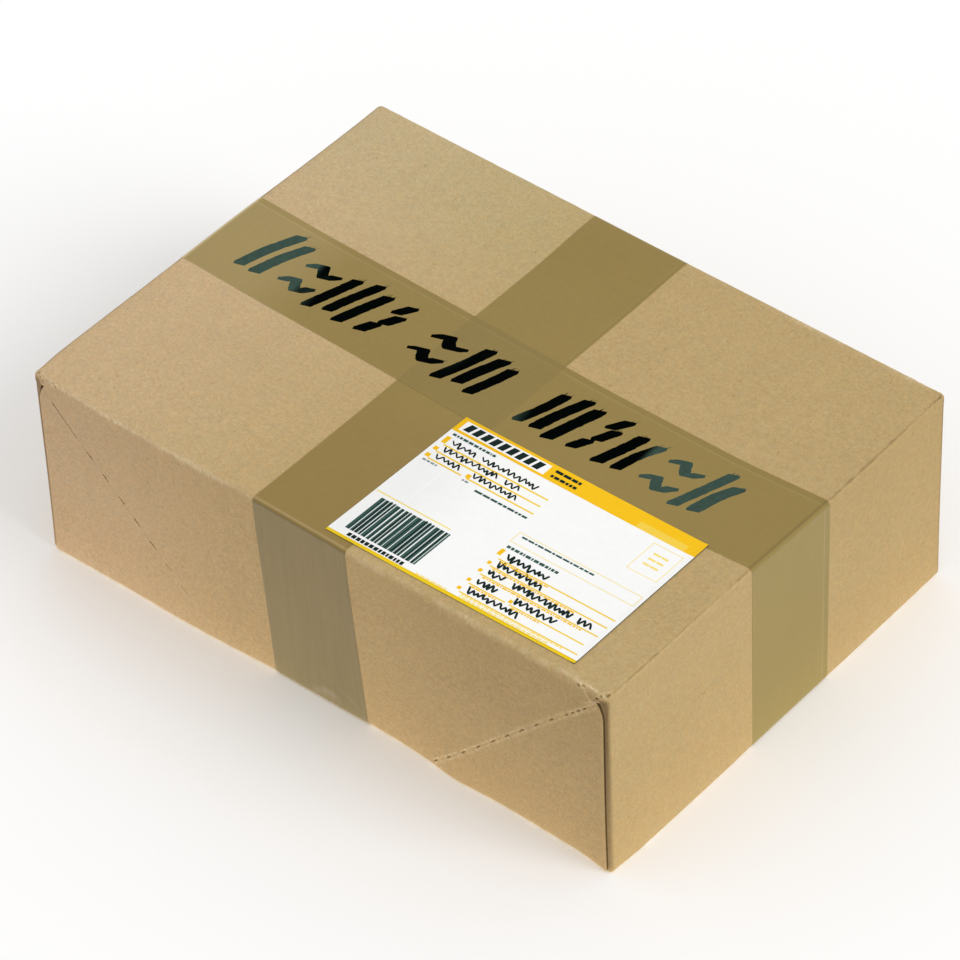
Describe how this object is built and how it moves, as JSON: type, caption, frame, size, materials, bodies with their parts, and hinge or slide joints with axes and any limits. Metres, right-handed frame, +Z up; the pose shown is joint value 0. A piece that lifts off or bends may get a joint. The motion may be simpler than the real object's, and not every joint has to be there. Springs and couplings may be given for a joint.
{
  "type": "taped parcel",
  "caption": "Sealed corrugated cardboard parcel, taped shut lengthwise and crosswise, with a paper address label on its top panel.",
  "frame": {"origin": "under the middle of the parcel, on the surface that it stands on", "axes": "+X along the length towards the end nearest the label, +Y across the width away from the label, +Z up through the top panel"},
  "size_m": [0.3086, 0.2216, 0.1016],
  "materials": {
    "kraft_board": "matt brown kraft board",
    "brown_tape": "glossy brown packing tape",
    "label_paper": "smooth white paper with a yellow heading band"
  },
  "bodies": {
    "root": {"carton": "kraft_board", "tape_crosswise": "brown_tape", "tape_lengthwise": "brown_tape", "address_label": "label_paper"}
  },
  "joints": []
}
